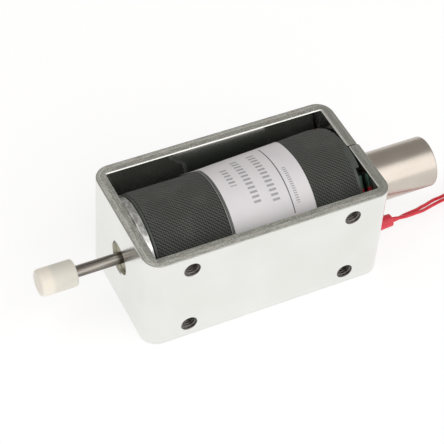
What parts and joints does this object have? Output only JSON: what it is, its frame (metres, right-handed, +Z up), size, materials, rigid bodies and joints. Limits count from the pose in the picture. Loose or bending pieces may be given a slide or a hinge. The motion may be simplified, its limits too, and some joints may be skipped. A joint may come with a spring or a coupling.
{
  "type": "push pull solenoid",
  "caption": "Box-frame push-pull solenoid: bent strip frame with tapped holes round a taped coil, sliding plunger at one end, push rod with a nylon tip at the other, flying leads.",
  "frame": {"origin": "middle of the lower edge of the frame, under the middle of the solenoid's length at rest", "axes": "+X along the plunger's axis, from the rod tip to the plunger's outer end; -Y out of the wall with the four tapped holes; +Z up"},
  "size_m": [0.1311, 0.036, 0.0298],
  "materials": {
    "zinc_strip": "bright zinc plated, sheared edges",
    "bright_steel": "bright zinc plated, turned",
    "soft_iron": "turned soft iron",
    "black_nylon": "moulded black nylon",
    "brass_tube": "drawn brass",
    "copper_wire": "enamelled copper wire",
    "black_cloth": "woven cotton tape",
    "white_paper": "coated paper",
    "green_sleeving": "dark green sleeving",
    "red_insulation": "red insulation",
    "red_sleeving": "red sleeving",
    "tie_strip": "pale plastic strip",
    "nickel_bar": "satin nickel plated",
    "steel_rod": "drawn stainless steel",
    "natural_nylon": "natural nylon, turned",
    "bronze_washer": "phosphor bronze"
  },
  "bodies": {
    "housing": {"frame": "zinc_strip", "flux_disc": "bright_steel", "pole": "soft_iron", "bobbin": "black_nylon", "guide_tube": "brass_tube", "winding": "copper_wire", "cloth_tape": "black_cloth", "label": "white_paper", "splice_front": "green_sleeving", "splice_rear": "green_sleeving", "tail_front": "red_insulation", "tail_rear": "red_insulation", "lead_sleeve": "red_sleeving", "lead_upper": "red_insulation", "lead_lower": "red_insulation", "lead_coil": "red_insulation", "lead_tie": "tie_strip"},
    "armature": {"plunger": "nickel_bar", "push_rod": "steel_rod", "rod_tip": "natural_nylon", "stop_washer": "bronze_washer"}
  },
  "joints": [
    {"name": "plunger_slide", "type": "slide", "parent": "housing", "child": "armature", "axis": [1, 0, 0], "range_m": [-0.012, 0.0118]}
  ]
}
